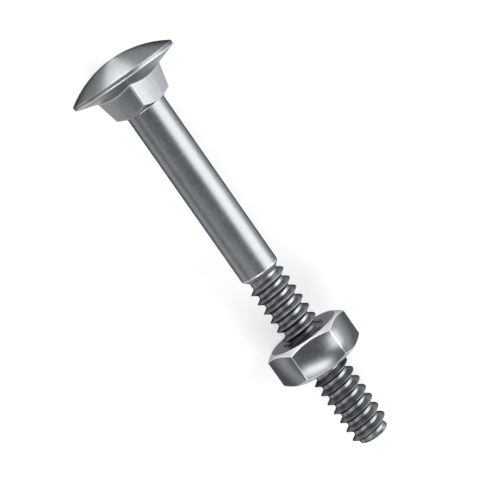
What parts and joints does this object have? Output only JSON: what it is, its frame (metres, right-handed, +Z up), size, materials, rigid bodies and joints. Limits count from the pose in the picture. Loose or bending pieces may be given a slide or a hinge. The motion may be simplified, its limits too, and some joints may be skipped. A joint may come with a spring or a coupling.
{
  "type": "carriage bolt",
  "caption": "Carriage bolt with a domed head, a tapered square neck, a plain shank and a coarse right-hand thread that carries a plain hex nut.",
  "frame": {"origin": "on the surface that the part rests on, at the middle of its bounding box", "axes": "+X runs from the head to the tip as seen from above, +Z is up; the bolt's own axis falls 3.0 degrees from the head to the tip"},
  "size_m": [0.063, 0.016, 0.016],
  "materials": {
    "bolt_steel": "plain mid-grey steel, satin, with fine marks round the axis",
    "nut_steel": "plain mid-grey steel, satin, with softened edges"
  },
  "bodies": {
    "bolt": {"bolt": "bolt_steel"},
    "nut": {"nut": "nut_steel"}
  },
  "joints": [
    {"name": "nut_travel", "type": "slide", "parent": "bolt", "child": "nut", "axis": [0.9986, 0, -0.0525], "range_m": [-0.0093, 0.02015]}
  ]
}
